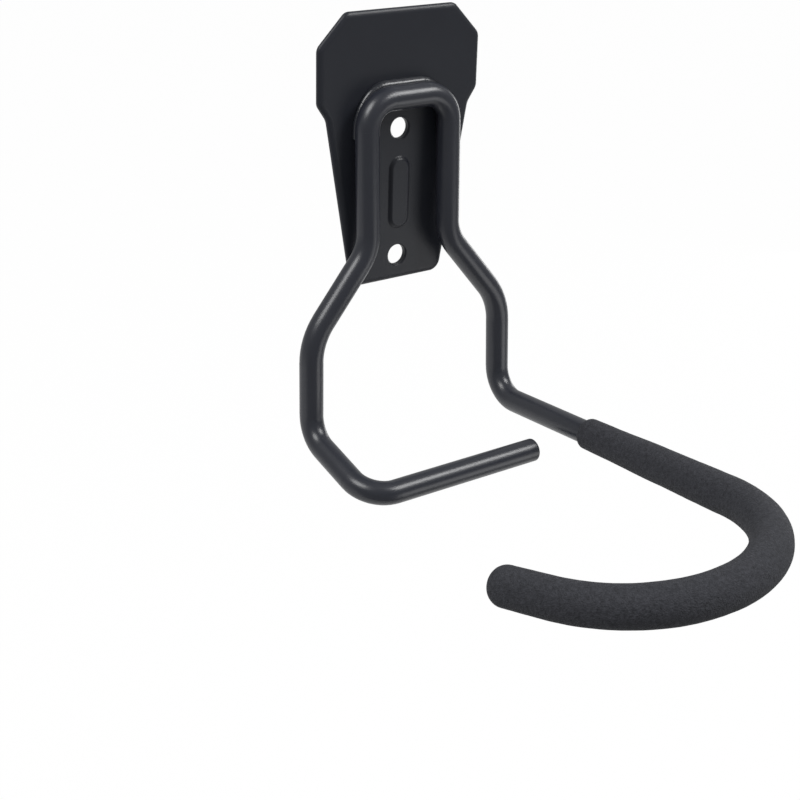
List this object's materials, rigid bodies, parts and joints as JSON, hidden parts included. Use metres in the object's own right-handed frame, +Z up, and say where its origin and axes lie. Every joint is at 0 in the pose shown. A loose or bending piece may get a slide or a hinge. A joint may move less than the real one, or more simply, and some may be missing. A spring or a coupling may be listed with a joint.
{
  "type": "wall bike holder",
  "caption": "Wall holder that hangs a bike by one wheel: a welded steel plate carries a bent round bar with a foam-sleeved wheel hook and a bare tyre rest.",
  "frame": {"origin": "midway between the two screw holes, on the plate's back face, where it meets the wall", "axes": "+X right along the wall seen from the room, +Y into the wall, +Z up"},
  "size_m": [0.1313, 0.2244, 0.1931],
  "materials": {
    "coated_plate": "satin black powder coat",
    "coated_bar": "satin black powder coat",
    "coated_weld": "satin black powder coat over a weld",
    "foam": "matt fine-celled foam"
  },
  "bodies": {
    "root": {"wall_plate": "coated_plate", "hook_bar": "coated_bar", "weld_bead": "coated_weld", "foam_sleeve": "foam"}
  },
  "joints": []
}
